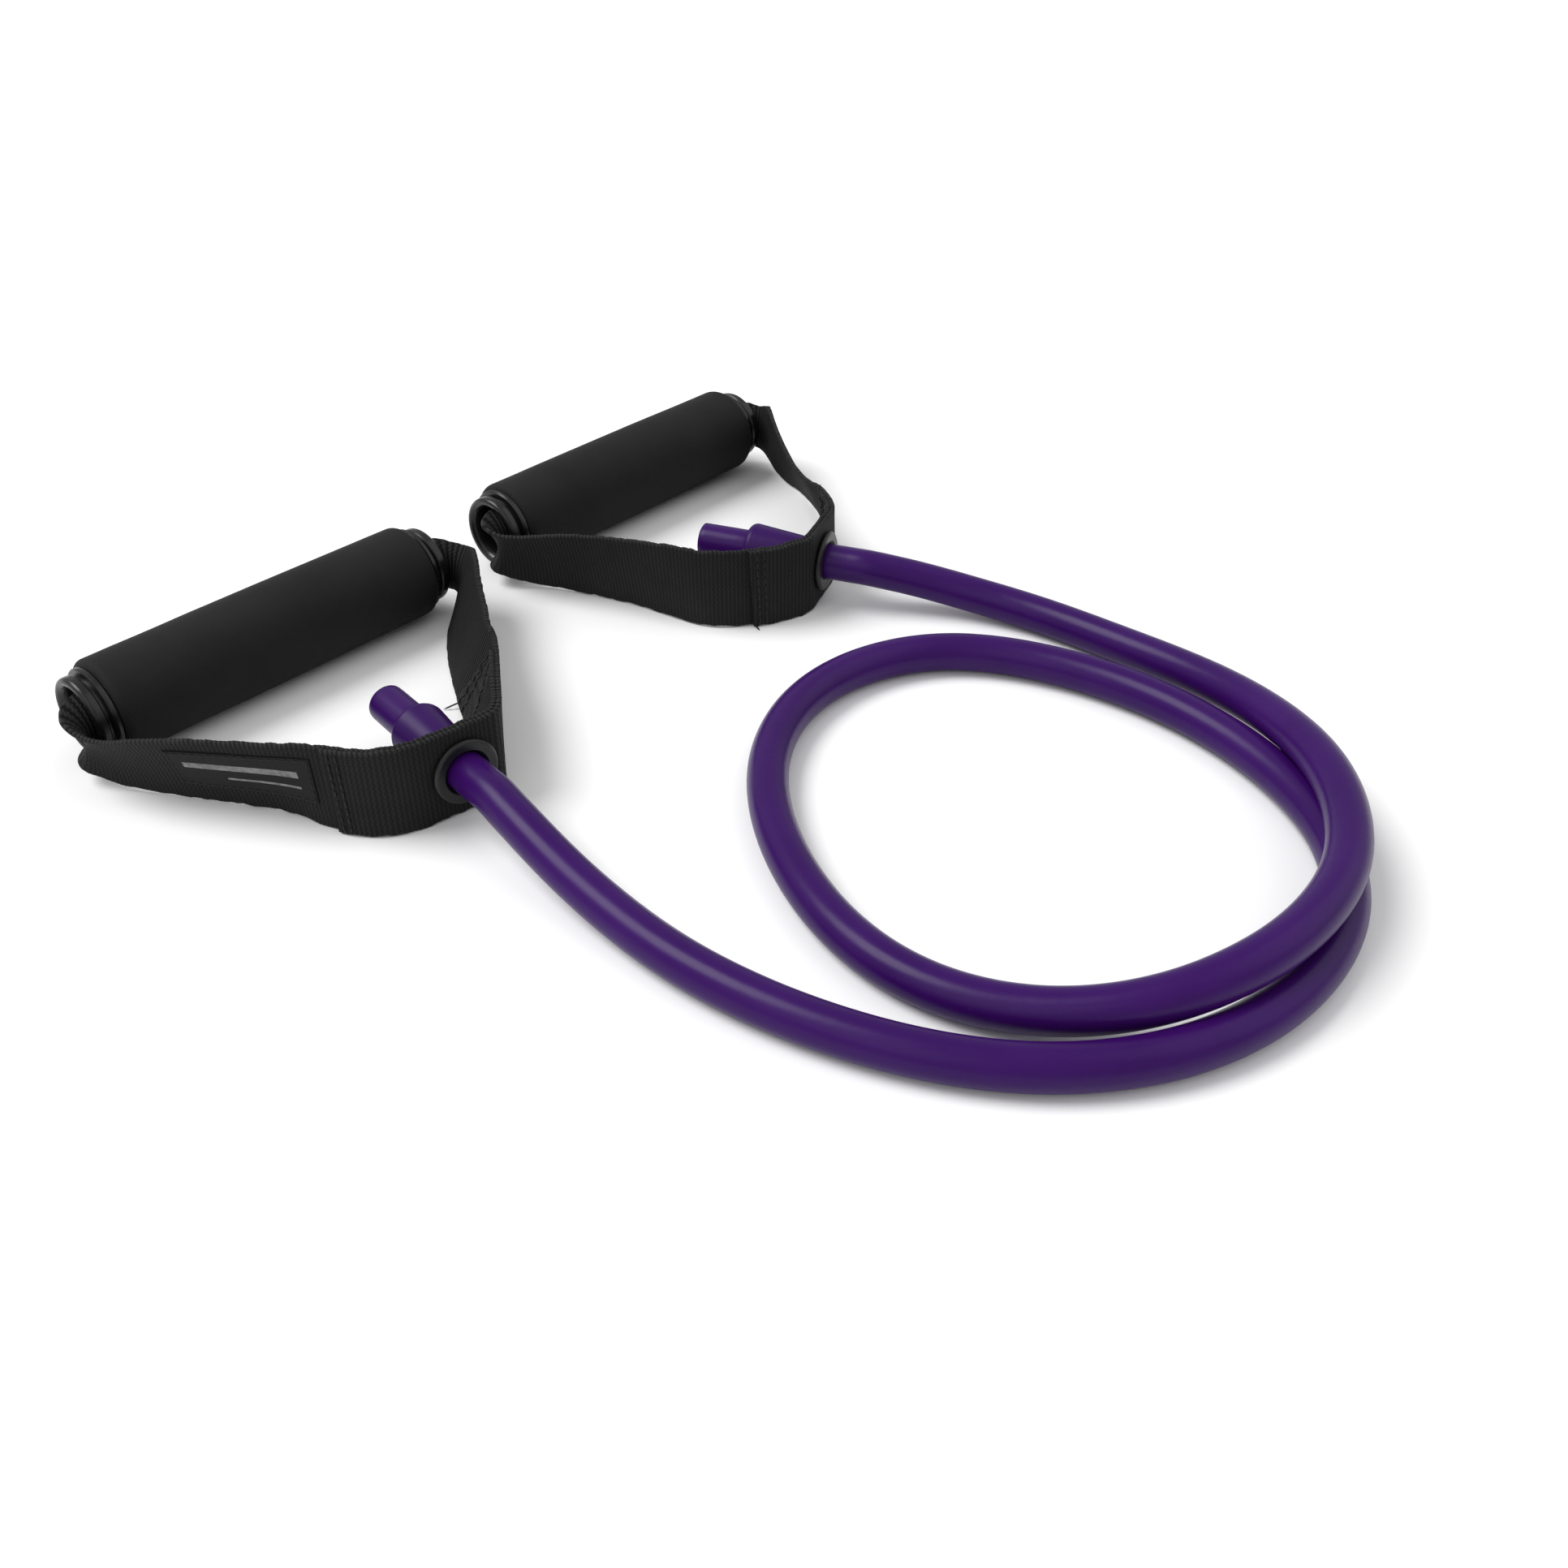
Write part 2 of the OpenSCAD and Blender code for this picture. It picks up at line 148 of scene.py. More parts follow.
# ------------------------------------------------------------ mesh helpers
def add_piece(name, verts, faces, body, material, uv=None, sharp=None):
    """A mesh piece from points in millimetres. uv holds one pair per vertex."""
    mesh = bpy.data.meshes.new(name)
    mesh.from_pydata([tuple(v) for v in np.asarray(verts, float) * MM], [],
                     [tuple(f) for f in faces])
    mesh.validate()
    if uv is not None:
        layer = mesh.uv_layers.new(name="strip")
        loops = np.zeros(len(mesh.loops), np.int32)
        mesh.loops.foreach_get("vertex_index", loops)
        layer.data.foreach_set("uv", np.asarray(uv, np.float32)[loops].ravel())
    mesh.polygons.foreach_set("use_smooth", [True] * len(mesh.polygons))
    bm = bmesh.new()
    bm.from_mesh(mesh)
    bmesh.ops.recalc_face_normals(bm, faces=bm.faces)
    bm.to_mesh(mesh)
    bm.free()
    if sharp is not None:
        mesh.set_sharp_from_angle(angle=math.radians(sharp))
    ob = bpy.data.objects.new(name, mesh)
    bpy.context.scene.collection.objects.link(ob)
    ob.data.materials.append(material)
    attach(ob, body)
    return ob


def ring_faces(n, m, closed_along, closed_round=True):
    """Quads between n rings of m points."""
    faces = []
    for i in range(n if closed_along else n - 1):
        a, b = i * m, ((i + 1) % n) * m
        for j in range(m if closed_round else m - 1):
            k = (j + 1) % m
            faces.append((a + j, b + j, b + k, a + k))
    return faces


def unit(v):
    v = np.asarray(v, float)
    return v / np.linalg.norm(v, axis=-1, keepdims=True)


def even(points, step):
    """The line again with points evenly spaced by about step."""
    along = np.r_[0, np.cumsum(np.linalg.norm(np.diff(points[:, :3], axis=0),
                                              axis=1))]
    at = np.linspace(0, along[-1], int(round(along[-1] / step)) + 1)
    return np.stack([np.interp(at, along, points[:, k])
                     for k in range(points.shape[1])], axis=1), at


def catmull(points, steps):
    p = np.asarray(points, float)
    out = []
    for i in range(len(p) - 1):
        a, b, c, d = (p[max(i - 1, 0)], p[i], p[i + 1],
                      p[min(i + 2, len(p) - 1)])
        for t in np.arange(steps) / steps:
            out.append(0.5 * (2 * b + (c - a) * t + (2 * a - 5 * b + 4 * c - d)
                              * t * t + (3 * b - a - 3 * c + d) * t ** 3))
    return np.array(out + [p[-1]])


def smoothed(values, sigma, keep):
    """values smoothed along the line, and left alone where keep is 1."""
    half = int(3 * sigma)
    kernel = np.exp(-0.5 * (np.arange(-half, half + 1) / sigma) ** 2)
    kernel /= kernel.sum()
    padded = np.pad(values, ((half, half), (0, 0)), mode="edge")
    soft = np.stack([np.convolve(padded[:, k], kernel, mode="valid")
                     for k in range(values.shape[1])], axis=1)
    return values * keep[:, None] + soft * (1 - keep[:, None])


def smooth_noise(n, wave, seed):
    """n values from -1 to 1 that change over wave samples, on a closed line."""
    r = np.random.default_rng(seed)
    knots = max(4, int(round(n / wave)))
    v = r.uniform(-1, 1, knots)
    x = np.arange(n) / n * knots
    i = np.floor(x).astype(int)
    f = x - i
    f = f * f * (3 - 2 * f)
    return v[i % knots] * (1 - f) + v[(i + 1) % knots] * f


# ------------------------------------------------------------ materials
class Shade:
    """A node material with a few short helpers."""

    def __init__(self, name):
        self.mat = bpy.data.materials.new(name)
        self.mat.use_nodes = True
        self.t = self.mat.node_tree
        self.bsdf = self.t.nodes["Principled BSDF"]
        self.coord = self.t.nodes.new("ShaderNodeTexCoord")

    def set(self, **values):
        for key, value in values.items():
            self.bsdf.inputs[key.replace("_", " ")].default_value = value

    def link(self, a, b):
        self.t.links.new(a, b)

    def noise(self, scale, detail=4, rough=0.6, stretch=None, vector=None):
        n = self.t.nodes.new("ShaderNodeTexNoise")
        n.inputs["Scale"].default_value = scale
        n.inputs["Detail"].default_value = detail
        n.inputs["Roughness"].default_value = rough
        out = vector or self.coord.outputs["Object"]
        if stretch:
            m = self.t.nodes.new("ShaderNodeMapping")
            m.inputs["Scale"].default_value = stretch
            self.link(out, m.inputs["Vector"])
            out = m.outputs["Vector"]
        self.link(out, n.inputs["Vector"])
        return n.outputs["Fac"]

    def cells(self, scale):
        n = self.t.nodes.new("ShaderNodeTexVoronoi")
        n.inputs["Scale"].default_value = scale
        self.link(self.coord.outputs["Object"], n.inputs["Vector"])
        return n.outputs["Distance"]

    def math(self, kind, a, b=None):
        n = self.t.nodes.new("ShaderNodeMath")
        n.operation = kind
        for socket, value in zip(n.inputs, (a, b)):
            if value is None:
                continue
            if isinstance(value, (int, float)):
                socket.default_value = value
            else:
                self.link(value, socket)
        return n.outputs[0]

    def ramp(self, fac, stops):
        n = self.t.nodes.new("ShaderNodeValToRGB")
        els = n.color_ramp.elements
        while len(els) < len(stops):
            els.new(0.5)
        for el, (pos, col) in zip(els, stops):
            el.position = pos
            if isinstance(col, (int, float)):
                col = (col, col, col)
            el.color = (*col, 1)
        self.link(fac, n.inputs["Fac"])
        return n.outputs["Color"]

    def mix(self, fac, a, b):
        n = self.t.nodes.new("ShaderNodeMix")
        n.data_type = "RGBA"
        for key, value in (("Factor", fac), ("A", a), ("B", b)):
            socket = [s for s in n.inputs if s.name == key
                      and s.type == ("VALUE" if key == "Factor" else "RGBA")][0]
            if isinstance(value, (int, float)):
                socket.default_value = value
            elif isinstance(value, tuple):
                socket.default_value = (*value, 1)
            else:
                self.link(value, socket)
        return [s for s in n.outputs if s.type == "RGBA"][0]

    def uv(self):
        """The strip's own coordinates, in millimetres: along and across."""
        n = self.t.nodes.new("ShaderNodeUVMap")
        n.uv_map = "strip"
        s = self.t.nodes.new("ShaderNodeSeparateXYZ")
        self.link(n.outputs["UV"], s.inputs[0])
        return s.outputs[0], s.outputs[1], n.outputs["UV"]

    def value(self, name):
        """A number stored on the mesh under that name."""
        n = self.t.nodes.new("ShaderNodeAttribute")
        n.attribute_name = name
        return n.outputs["Fac"]

    def bump(self, *layers):
        """layers are (height, distance in millimetres, strength)."""
        last = None
        for height, distance, strength in layers:
            n = self.t.nodes.new("ShaderNodeBump")
            n.inputs["Strength"].default_value = strength
            n.inputs["Distance"].default_value = distance * MM
            self.link(height, n.inputs["Height"])
            if last is not None:
                self.link(last, n.inputs["Normal"])
            last = n.outputs["Normal"]
        self.link(last, self.bsdf.inputs["Normal"])


def rubber_material(name, deep, lit, rough):
    s = Shade(name)
    cloud = s.noise(24, 3)
    speck = s.noise(900, 2)
    base = s.mix(s.ramp(cloud, [(0.35, 0.0), (0.7, 1.0)]), deep, lit)
    dusty = s.ramp(speck, [(0.62, 0.0), (0.78, 1.0)])
    s.link(s.mix(s.math("MULTIPLY", dusty, 0.07), base, (0.1, 0.05, 0.18)),
           s.bsdf.inputs["Base Color"])
    s.link(s.math("ADD", s.math("MULTIPLY", cloud, 0.14), rough - 0.07),
           s.bsdf.inputs["Roughness"])
    s.set(Specular_IOR_Level=0.15)
    s.bump((s.noise(160, 3), 0.25, 0.25), (s.noise(2600, 2), 0.03, 0.35))
    return s.mat


def foam_material():
    s = Shade("black_foam")
    pores = s.cells(2100)
    grain = s.noise(3200, 2)
    wide = s.noise(30, 4)
    base = s.mix(s.ramp(wide, [(0.3, 0.0), (0.75, 1.0)]),
                 (0.0125, 0.0125, 0.0127), (0.018, 0.018, 0.0183))
    # painted shade: the pits of the pores, where the bump is lowest, are darkened
    # in the colour
    pore_shade = s.ramp(pores, [(0.05, 1.0), (0.28, 0.0)])
    s.link(s.mix(s.math("MULTIPLY", pore_shade, 0.45), base, (0.006, 0.006, 0.006)),
           s.bsdf.inputs["Base Color"])
    s.link(s.math("ADD", s.math("MULTIPLY", grain, 0.2), 0.6),
           s.bsdf.inputs["Roughness"])
    s.set(Specular_IOR_Level=0.09, Sheen_Weight=0.02, Sheen_Roughness=0.35)
    s.bump((wide, 0.5, 0.2), (pores, 0.1, 0.55), (grain, 0.06, 0.5))
    return s.mat


def plastic_material(name, base, rough):
    s = Shade(name)
    wide = s.noise(60, 4)
    fine = s.noise(2400, 2)
    scuff = s.ramp(s.noise(240, 6, 0.7, stretch=(1, 4, 2)),
                   [(0.56, 0.0), (0.7, 1.0)])
    s.link(s.mix(s.math("MULTIPLY", scuff, 0.5), base,
                 tuple(c * 1.8 + 0.004 for c in base)),
           s.bsdf.inputs["Base Color"])
    s.link(s.math("ADD", s.math("MULTIPLY", scuff, 0.14),
                  s.math("ADD", s.math("MULTIPLY", wide, 0.1), rough - 0.05)),
           s.bsdf.inputs["Roughness"])
    s.set(Specular_IOR_Level=0.36)
    s.bump((wide, 0.2, 0.12), (fine, 0.04, 0.25))
    return s.mat


# The weave: one rib along the strip, one warp column across it, and how far
# from its middle the selvedge starts
RIB = 1.4
COLUMN = 1.05
SELVEDGE = 14.0
LABEL_WEAVE = 0.5


def webbing_material(name, dark, light):
    """Ribbed webbing: weft ribs across it, warp columns along, a selvedge; its
    colour holds painted shade between the ribs, painted highlight on the selvedge
    ribs and painted light on the inner face.
    """
    s = Shade(name)
    u, v, uv = s.uv()
    column = s.math("FLOOR", s.math("MULTIPLY", v, 1 / COLUMN))
    odd = s.math("MODULO", s.math("ABSOLUTE", column), 2.0)
    phase = s.math("ADD", s.math("MULTIPLY", u, 2 * math.pi / RIB),
                   s.math("MULTIPLY", odd, 0.9))
    rib = s.math("ADD", s.math("MULTIPLY", s.math("SINE", phase), 0.5), 0.5)
    warp = s.math("ABSOLUTE", s.math("SINE", s.math(
        "MULTIPLY", v, math.pi / COLUMN)))
    weave = s.math("MULTIPLY", rib, s.math("ADD", s.math(
        "MULTIPLY", warp, 0.45), 0.55))
    fibre = s.noise(5, 4, 0.7, stretch=(0.8, 7, 1), vector=uv)
    wear = s.noise(60, 5, 0.65)
    edge = s.math("GREATER_THAN", s.math("ABSOLUTE", v), SELVEDGE)
    inner = s.value("inner")
    # painted shade and highlight: the colour follows the rib relief, darker
    # between the ribs and lighter on their crests, with more contrast on the inner
    # face
    rib_shade_gain = s.math("ADD", s.math("MULTIPLY", inner, 0.95), 0.3)
    tone = s.math("ADD", s.math("MULTIPLY", fibre, 0.3), s.math(
        "MULTIPLY", rib_shade_gain, s.math("SUBTRACT", weave, 0.4)))
    # painted light: the inner face is made lighter all over, for how it faces the
    # light
    tone = s.math("ADD", tone, s.math("ADD", s.math(
        "MULTIPLY", inner, 0.12), 0.3))
    # painted highlight: the ribs along the selvedge are lightened, as ribs
    # catching the light at the strip's edge
    tone = s.math("ADD", tone, s.math(
        "MULTIPLY", edge, s.math("MULTIPLY", rib, 0.55)))
    tone = s.math("MULTIPLY", tone, s.ramp(wear, [(0.25, 0.7), (0.75, 1.15)]))
    s.link(s.mix(tone, dark, light), s.bsdf.inputs["Base Color"])
    s.link(s.math("SUBTRACT", 0.84, s.math("MULTIPLY", weave, 0.25)),
           s.bsdf.inputs["Roughness"])
    s.set(Specular_IOR_Level=0.12)
    relief = s.math("MULTIPLY", weave, s.math("ADD", s.math(
        "MULTIPLY", inner, 0.65), 0.35))
    s.bump((relief, 0.2, 0.9), (fibre, 0.05, 0.5))
    return s.mat


def thread_material():
    s = Shade("black_thread")
    twist = s.noise(1600, 3, 0.6, stretch=(1, 1, 2.5))
    s.link(s.mix(twist, (0.008, 0.008, 0.0082), (0.032, 0.032, 0.033)),
           s.bsdf.inputs["Base Color"])
    s.set(Roughness=0.6, Specular_IOR_Level=0.2)
    s.bump((twist, 0.08, 0.6))
    return s.mat


def label_material():
    s = Shade("label_cloth")
    u, v, _ = s.uv()
    warp = s.math("ABSOLUTE", s.math("SINE", s.math(
        "MULTIPLY", v, math.pi / LABEL_WEAVE)))
    weft = s.math("ABSOLUTE", s.math("SINE", s.math(
        "MULTIPLY", u, math.pi / LABEL_WEAVE)))
    weave = s.math("MULTIPLY", warp, weft)
    worn = s.noise(140, 4)
    tone = s.math("MULTIPLY", weave, s.ramp(worn, [(0.3, 0.6), (0.7, 1.0)]))
    s.link(s.mix(tone, (0.009, 0.009, 0.0092), (0.024, 0.024, 0.0245)),
           s.bsdf.inputs["Base Color"])
    s.set(Roughness=0.7, Specular_IOR_Level=0.12)
    s.bump((weave, 0.06, 0.6))
    return s.mat


def print_material():
    s = Shade("label_print")
    worn = s.noise(420, 5, 0.7)
    s.link(s.ramp(worn, [(0.35, (0.09, 0.09, 0.092)),
                         (0.65, (0.22, 0.22, 0.222))]),
           s.bsdf.inputs["Base Color"])
    s.set(Roughness=0.5, Specular_IOR_Level=0.3)
    s.bump((worn, 0.03, 0.4))
    return s.mat


MAT = {
    "tube": rubber_material("purple_rubber", (0.027, 0.0022, 0.08),
                            (0.034, 0.0036, 0.096), 0.3),
    "moulding": rubber_material("purple_moulding", (0.024, 0.0018, 0.072),
                                (0.03, 0.003, 0.086), 0.34),
    "foam": foam_material(),
    "cap": plastic_material("black_cap", (0.006, 0.006, 0.0062), 0.27),
    "eyelet": plastic_material("black_eyelet", (0.007, 0.0068, 0.0078), 0.38),
    "core": plastic_material("black_core", (0.007, 0.007, 0.007), 0.5),
    "web": webbing_material("black_webbing", (0.002, 0.002, 0.0021),
                            (0.026, 0.026, 0.0262)),
    "thread": thread_material(),
    "label": label_material(),
    "print": print_material()}


# ------------------------------------------------------------ the tube
TUBE_STEP = 2.0
KEEP_STRAIGHT = STRAIGHT - TUBE_FROM


def tube_path():
    head = [on_axis("a", x) for x in (TUBE_FROM, -22, 0, 12, STRAIGHT)]
    tail = [on_axis("b", x) for x in (STRAIGHT, 12, 0, -22, TUBE_FROM)]
    line, at = even(catmull(head + ROUTE + tail, 16), TUBE_STEP)
    fade = 12
    limit = KEEP_STRAIGHT + fade / 2
    keep = np.clip(np.maximum((limit - at) / fade,
                              (at - (at[-1] - limit)) / fade), 0, 1)
    line = smoothed(line, 5.0, keep)
    line[:, 2] = np.maximum(line[:, 2], TUBE_D / 2 + 0.02)
    return line


def make_tube():
    line = tube_path()
    sides = 40
    tangent = unit(np.gradient(line, axis=0))
    side = unit(np.cross([0, 0, 1], tangent))
    up = np.cross(tangent, side)
    angle = np.arange(sides) / sides * 2 * math.pi
    circle = np.stack([np.cos(angle), np.sin(angle)], 1)
    n = len(line)
    r = TUBE_D / 2
    # radius along the tube: squeezed under each sleeve, which covers this
    # stretch from the tube's end, and uneven by a few hundredths elsewhere
    sleeve = (17, 43)
    fade = 3
    along = np.arange(n) * TUBE_STEP
    ends = np.minimum(along, along[-1] - along)
    under = (np.clip((ends - sleeve[0]) / fade, 0, 1)
             * np.clip((sleeve[1] - ends) / fade, 0, 1))
    at_end = np.clip(1 - ends / 10, 0, 1)
    radius = r - SQUEEZE * under + 0.05 * (1 - at_end)
    radius = radius + 0.03 * smooth_noise(n, 30, 3)

    def ring(i, rad, shift=0.0):
        c = line[i] + tangent[i] * shift
        return c + rad * (circle[:, :1] * up[i] - circle[:, 1:] * side[i])

    # each end: radius and distance inwards, from inside the bore to the side
    bore = TUBE_BORE / 2 + 0.05
    mouth = [(bore, 2.0), (bore, 0.35), (bore + 0.35, 0), (r - 0.9, 0),
             (r - 0.35, 0.08), (r - 0.08, 0.35)]
    rings = [ring(0, rad, x) for rad, x in mouth]
    rings += [ring(i, radius[i]) for i in range(1, n - 1)]
    rings += [ring(n - 1, rad, -x) for rad, x in reversed(mouth)]
    verts = np.concatenate(rings)
    faces = ring_faces(len(rings), sides, False)
    faces.append(tuple(range(sides)))
    faces.append(tuple(len(verts) - sides + j for j in range(sides)))
    ob = add_piece("rubber_tube", verts, faces, "band",
                   MAT["tube"])
    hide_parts("tube", "tube_end_a", "tube_end_b")


make_tube()


# ------------------------------------------------------------ webbing
PER_RIB = 4
ACROSS = 19
EDGE_ANGLES = np.radians([70, 45, 20, -20, -45, -70])
EDGE_R = 0.75
EDGE_FLAT = 1.1
EDGE_BULGE = 1.06
# A cut end is askew by this much at the edges, which fades along the strip
SKEW_FADE = 26.0
INNER_SKEW = {"a": 9.0, "b": 3.0}
OUTER_SKEW = 0.7


def loop_line(h):
    """The webbing's middle line, closed, evenly spaced, one row a sample."""
    p = np.array(LOOP[h], float)
    steps = 48
    t = (np.arange(steps) / steps)[:, None]
    rows, spans = [], []
    for i in range(len(p)):
        a, b, c = (p[i - 1] + p[i]) / 2, p[i], (p[i] + p[(i + 1) % len(p)]) / 2
        rows.append(a * (1 - t) ** 2 + b * 2 * t * (1 - t) + c * t * t)
        spans.append(i + t)
    line = np.concatenate(rows)
    span = np.concatenate(spans)
    full = np.concatenate([np.c_[line, span], np.r_[line[0], len(p)][None]])
    length = np.linalg.norm(np.diff(full[:, :3], axis=0), axis=1).sum()
    ribs = int(round(length / RIB))
    line, _ = even(full, length / (ribs * PER_RIB))
    return line[:-1], length / ribs / PER_RIB


class Strip:
    """A webbing strip's shape: where a point along and across it lies."""

    def __init__(self, h):
        self.h = h
        self.line, self.step = loop_line(h)
        xy = self.line[:, :2]
        t = unit(np.roll(xy, -3, 0) - np.roll(xy, 3, 0))
        self.side = np.stack([-t[:, 1], t[:, 0]], 1)

    def index(self, span):
        """The sample nearest a place given in control spans."""
        return int(np.argmin(np.abs(self.line[:, 5] - span)))

    def point(self, i, w, off):
        """Points at sample i, w across and off outwards, as arrays."""
        x, y, z, lean, curl = self.line[i][:5]
        w = w * (1 - GATHER * math.sin(math.pi * curl / CURL))
        sx, sy = self.side[i]
        if curl < 1:
            q, u = off + 0 * w, w + 0 * off
        else:
            phi = np.radians(curl * w / WEB_W)
            r = WEB_W / math.radians(curl)
            q = r * (1 - np.cos(phi)) + off * np.cos(phi)
            u = (r - off) * np.sin(phi)
        cl, sl = math.cos(math.radians(lean)), math.sin(math.radians(lean))
        out, high = q * cl - u * sl, q * sl + u * cl
        return np.stack([GRIP[self.h][0] + x + out * sx,
                         GRIP[self.h][1] + y + out * sy, z + high], -1)

    def between(self, place, w, off):
        """Points at a place between two samples, counted on past the last."""
        low = int(math.floor(place))
        f = place - low
        n = len(self.line)
        return (self.point(low % n, w, off) * (1 - f)
                + self.point((low + 1) % n, w, off) * f)


def strip_section(half, low, high):
    """The outline of the webbing's section as (w, offset) with round edges."""
    mid, thick = (low + high) / 2, (high - low) / 2 * EDGE_BULGE
    w = np.linspace(-half + EDGE_FLAT, half - EDGE_FLAT, ACROSS)
    top = [(x, high) for x in w]
    bottom = [(x, low) for x in w[::-1]]
    right = [(half - EDGE_R + EDGE_R * math.cos(t), mid + thick * math.sin(t))
             for t in EDGE_ANGLES]
    left = [(-x, 2 * mid - y) for x, y in right]
    return np.array(top + right + bottom + left)


def strip_mesh(strip, ids, lift, seed, skew, ends):
    """Rings of the strip at samples ids, lifted outwards by lift.

    skew and ends say for the first and last ring how far it is askew at the
    edges and whether it is closed with a cut end.
    """
    n = len(strip.line)
    half = WEB_W / 2
    section = strip_section(half, -WEB_OUT, WEB_OUT)
    m = len(section)
    edge_shape = [smooth_noise(n, wave, seed + k) * size for k, (wave, size)
                  in enumerate(((9, 0.26), (4, 0.2), (11, 0.3), (5, 0.2)))]
    sway = smooth_noise(n, 70, seed + 5) * 0.06
    verts, uvs = [], []
    for k, i0 in enumerate(ids):
        i = i0 % n
        rib = abs(math.sin(math.pi * i / PER_RIB + math.pi / (2 * PER_RIB)))
        w, off = section[:, 0].copy(), section[:, 1].copy()
        # ribs stand out more on the inner face and less near the edges
        flat = np.clip((half - 1.0 - np.abs(w)) / 1.2, 0, 1)
        depth = np.where(off > 0, 0.07, 0.13)
        off = off + np.sign(off) * (depth * rib - 0.08) * (0.4 + 0.6 * flat)
        # the edges are uneven and lie a little inside the full width
        edge = np.clip((np.abs(w) - (half - 2.2)) / 2, 0, 1)
        jag = np.where(w > 0, edge_shape[0][i] + edge_shape[1][i],
                       edge_shape[2][i] + edge_shape[3][i]) + 0.16 * rib
        w = w + np.sign(w) * edge * (jag - 0.42)
        off = off + lift[k] + sway[i]
        near = [max(0.0, 1 - x * strip.step / SKEW_FADE) ** 2
                for x in (k, len(ids) - 1 - k)]
        slide = skew[0] * near[0] + skew[1] * near[1]
        place = i0 + slide * w / half / strip.step
        if slide == 0:
            p = strip.point(i, w, off)
        else:
            p = np.array([strip.between(*point)
                          for point in zip(place, w, off)])
        verts.append(p)
        uvs.append(np.stack([place * strip.step, section[:, 0]], 1))
    faces = ring_faces(len(ids), m, False)
    side = len(EDGE_ANGLES)
    for base, wanted in ((0, ends[0]), ((len(ids) - 1) * m, ends[1])):
        if not wanted:
            continue
        top = [base + j for j in range(ACROSS)]
        bottom = [base + ACROSS + side + j for j in range(ACROSS)][::-1]
        for j in range(ACROSS - 1):
            faces.append((top[j], top[j + 1], bottom[j + 1], bottom[j]))
        faces.append(tuple(base + ACROSS - 1 + j for j in range(side + 2)))
        faces.append((*[base + 2 * ACROSS + side - 1 + j
                        for j in range(side + 1)], base))
    return np.concatenate(verts), faces, np.concatenate(uvs)


def cut_hole(ob, h):
    """Cuts the hole for the eyelet's barrel through a webbing piece."""
    radius = BARREL_R + 0.15
    low, high = -4, 5
    bm = bmesh.new()
    bmesh.ops.create_cone(bm, cap_ends=True, segments=72, radius1=radius * MM,
                          radius2=radius * MM, depth=(high - low) * MM)
    cutter_mesh = bpy.data.meshes.new("cutter")
    bm.to_mesh(cutter_mesh)
    bm.free()
    cutter = bpy.data.objects.new("cutter", cutter_mesh)
    bpy.context.scene.collection.objects.link(cutter)
    d = direction(TURN[h])
    mid = on_axis(h, (low + high) / 2)
    turn = Vector((d[0], d[1], 0)).to_track_quat("Z", "Y").to_matrix().to_4x4()
    cutter.matrix_world = Matrix.Translation(Vector(mid) * MM) @ turn
    mod = ob.modifiers.new("hole", "BOOLEAN")
    mod.operation = "DIFFERENCE"
    mod.solver = "EXACT"
    mod.object = cutter
    bpy.context.view_layer.update()
    dg = bpy.context.evaluated_depsgraph_get()
    made = bpy.data.meshes.new_from_object(ob.evaluated_get(dg))
    ob.modifiers.clear()
    old = ob.data
    name = old.name
    ob.data = made
    bpy.data.meshes.remove(old)
    made.name = name
    bpy.data.objects.remove(cutter)
    bpy.data.meshes.remove(cutter_mesh)


STRIPS = {h: Strip(h) for h in "ab"}


def laps(h):
    """Samples of the first and second lap of a strip that overlaps itself."""
    strip = STRIPS[h]
    n = len(strip.line)
    start, stop = (strip.index(x) for x in ENDS[h])
    if stop < start:
        stop += n
    return np.arange(start, start + n + 1), np.arange(start + n, stop + n + 1)


def mark_inner(ob, rings):
    """Notes which points are on the loop's inner face."""
    side = strip_section(WEB_W / 2, -WEB_OUT, WEB_OUT)[:, 1] < 0
    layer = ob.data.attributes.new("inner", "FLOAT", "POINT")
    layer.data.foreach_set("value", np.tile(side, rings).astype(np.float32))


def make_lap(h, name, ids, lift, skew, ends):
    v, f, uv = strip_mesh(STRIPS[h], ids, lift, 11 if h == "a" else 53, skew,
                          ends)
    ob = add_piece(name, v, f, f"strap_set_{h}", MAT["web"],
                   uv)
    mark_inner(ob, len(ids))
    cut_hole(ob, h)
    return ob


def make_webbing(h):
    """One strip: its second lap lies on its first, which rises to meet it."""
    step = STRIPS[h].step
    first, second = laps(h)
    ramp = np.clip((first - first[-1]) * step / 12 + 1, 0, 1)
    rise = WEB_T * ramp * ramp * (3 - 2 * ramp)
    ob = make_lap(h, f"webbing_loop_{h}", first, rise, (INNER_SKEW[h], 0),
                  (True, False))
    outer = make_lap(h, f"webbing_end_{h}", second,
                     np.full(len(second), WEB_T), (0, OUTER_SKEW),
                     (False, True))
    bm = bmesh.new()
    bm.from_mesh(ob.data)
    bm.from_mesh(outer.data)
    bmesh.ops.remove_doubles(bm, verts=bm.verts, dist=1e-7)
    bmesh.ops.recalc_face_normals(bm, faces=bm.faces)
    bm.to_mesh(ob.data)
    bm.free()
    spare = outer.data
    bpy.data.objects.remove(outer)
    bpy.data.meshes.remove(spare)
    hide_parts(f"strap_{h}", f"strap_reinforcement_{h}")


for handle in "ab":
    make_webbing(handle)


# ------------------------------------------------------------ stitches
def bar(strip, i, w, off, length, bulge, along=False, tilt=0.0):
    """The line of a stitch lying on the webbing, whose ends sink into it."""
    pts = []
    for t in np.linspace(-1, 1, 9):
        lift = off + math.copysign(bulge, off) * (0.9 - 1.6 * abs(t) ** 3)
        if along:
            j = i + t * length / 2 / strip.step
            ww = w + t * tilt
        else:
            j = i + t * tilt / strip.step
            ww = w + t * length / 2
        pts.append(strip.between(j, ww, lift))
    return np.array(pts)


